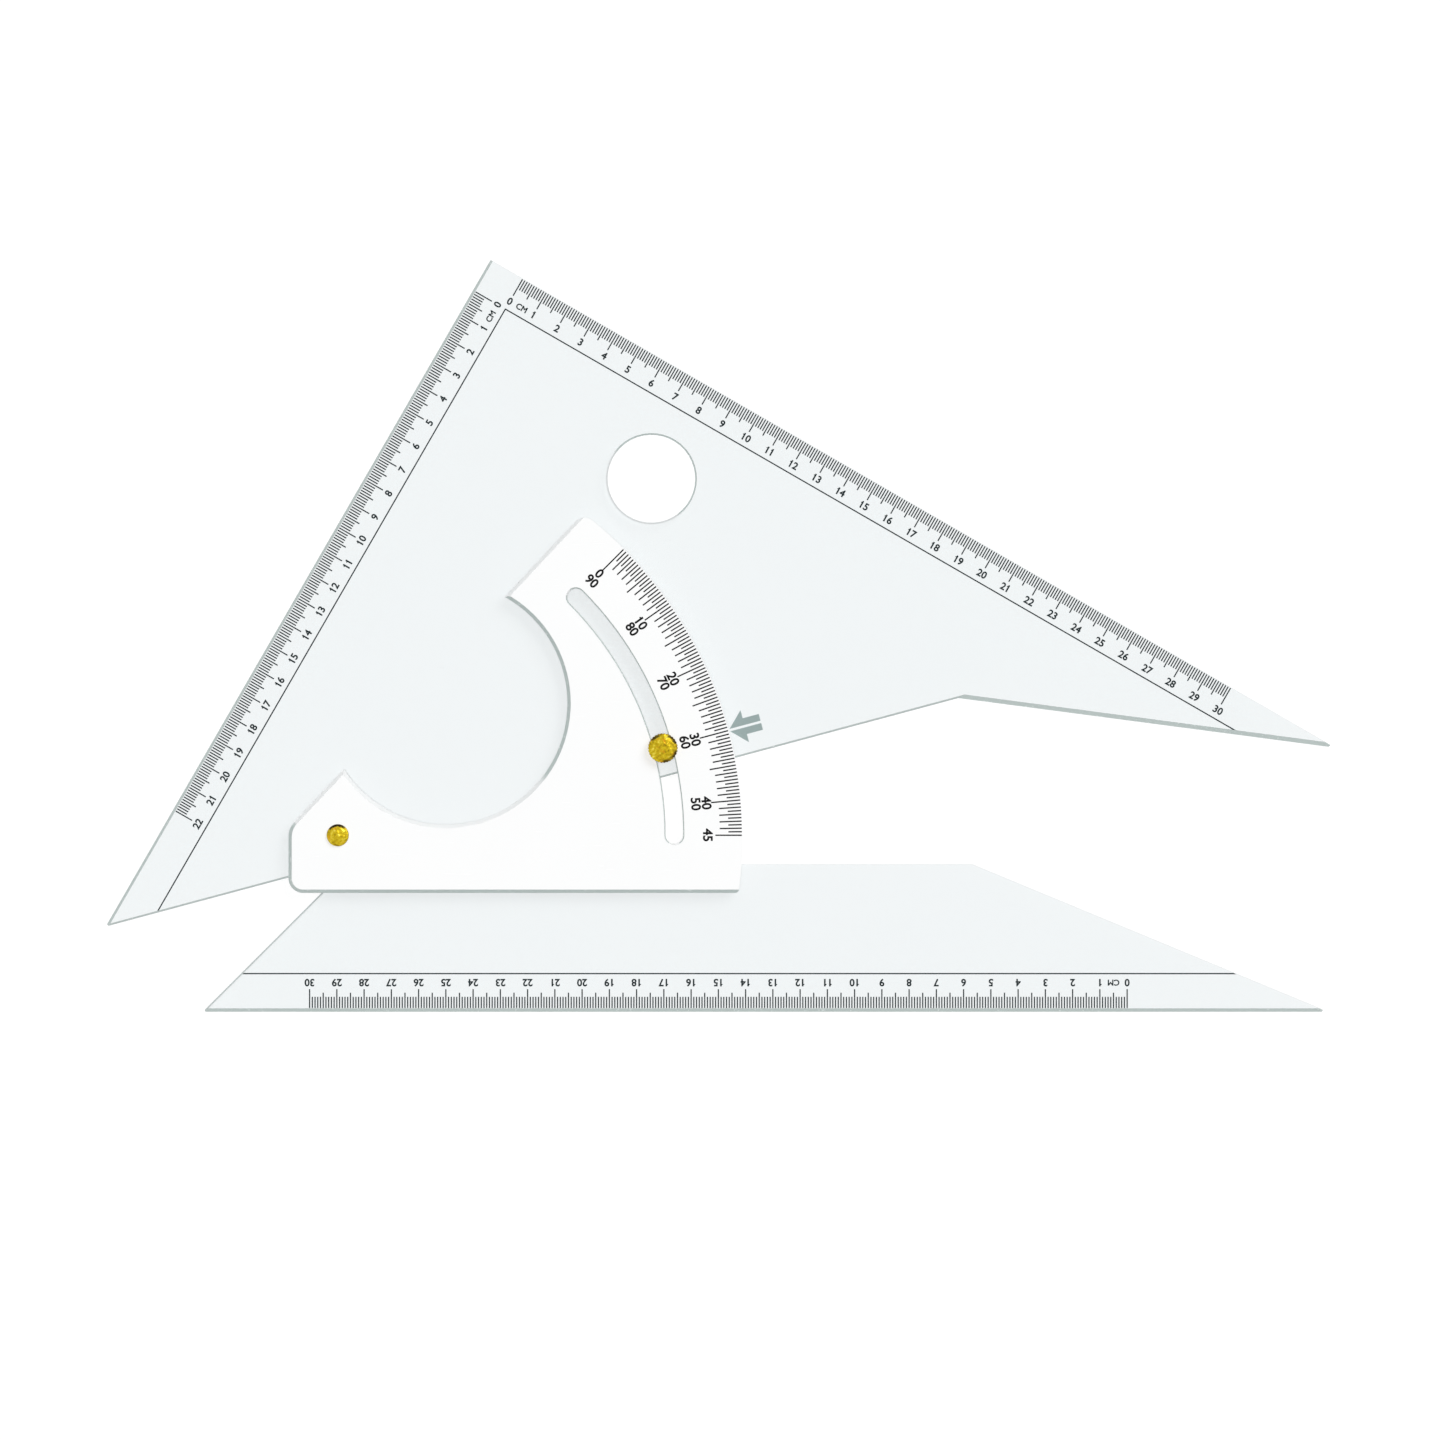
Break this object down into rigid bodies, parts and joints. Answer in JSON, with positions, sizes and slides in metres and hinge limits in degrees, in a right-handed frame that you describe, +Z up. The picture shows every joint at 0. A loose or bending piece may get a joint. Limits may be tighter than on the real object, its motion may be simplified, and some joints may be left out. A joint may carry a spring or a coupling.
{
  "type": "adjustable set square goniometer",
  "caption": "Adjustable set square: a clear ruled base blade and triangle blade joined at a pivot, with a white quadrant scale and a brass clamp in its arc slot.",
  "frame": {"origin": "bottom centre of the box of the whole square at its rest opening of 15 degrees, on the surface it lies on", "axes": "+X along the base blade's ruling edge towards its pointed end, +Y across the blades away from the ruling edge, +Z up through the quadrant's printed face"},
  "size_m": [0.4484, 0.2756, 0.0098],
  "materials": {
    "clear_acrylic": "clear cast acrylic with a faint cool tint and flame-smooth bevelled edges",
    "white_acrylic": "opal white acrylic, gloss",
    "adhesive_film": "clear adhesive film",
    "brass": "polished turned brass",
    "nylon": "natural nylon"
  },
  "bodies": {
    "base": {"base_blade": "clear_acrylic", "bonding_film": "adhesive_film", "quadrant_plate": "white_acrylic", "pivot_post": "brass", "pivot_screw": "brass", "pivot_washer": "brass"},
    "triangle": {"triangle_blade": "clear_acrylic", "pivot_bush": "brass", "pivot_slip_washer": "nylon", "clamp_bolt": "brass", "slot_bush": "nylon", "clamp_slip_washer": "nylon"},
    "clamp_lifter": {"clamp_washer": "brass"},
    "clamp_knob": {"clamp_knob": "brass"}
  },
  "joints": [
    {"name": "angle_swing", "type": "hinge", "parent": "base", "child": "triangle", "pos_m": [-0.13949, -0.073, 0.0015], "axis": [0, 0, 1], "range_deg": [-15, 30]},
    {"name": "clamp_lift", "type": "slide", "parent": "triangle", "child": "clamp_lifter", "axis": [0, 0, 1], "range_m": [0, 0.0007]},
    {"name": "clamp_turn", "type": "hinge", "parent": "clamp_lifter", "child": "clamp_knob", "pos_m": [-0.02039, -0.04109, 0.0064], "axis": [0, 0, 1], "range_deg": [0, 360]}
  ],
  "couplings": [
    {"joint": "clamp_turn", "follows": "clamp_lift", "rad_per_m": 8976}
  ]
}
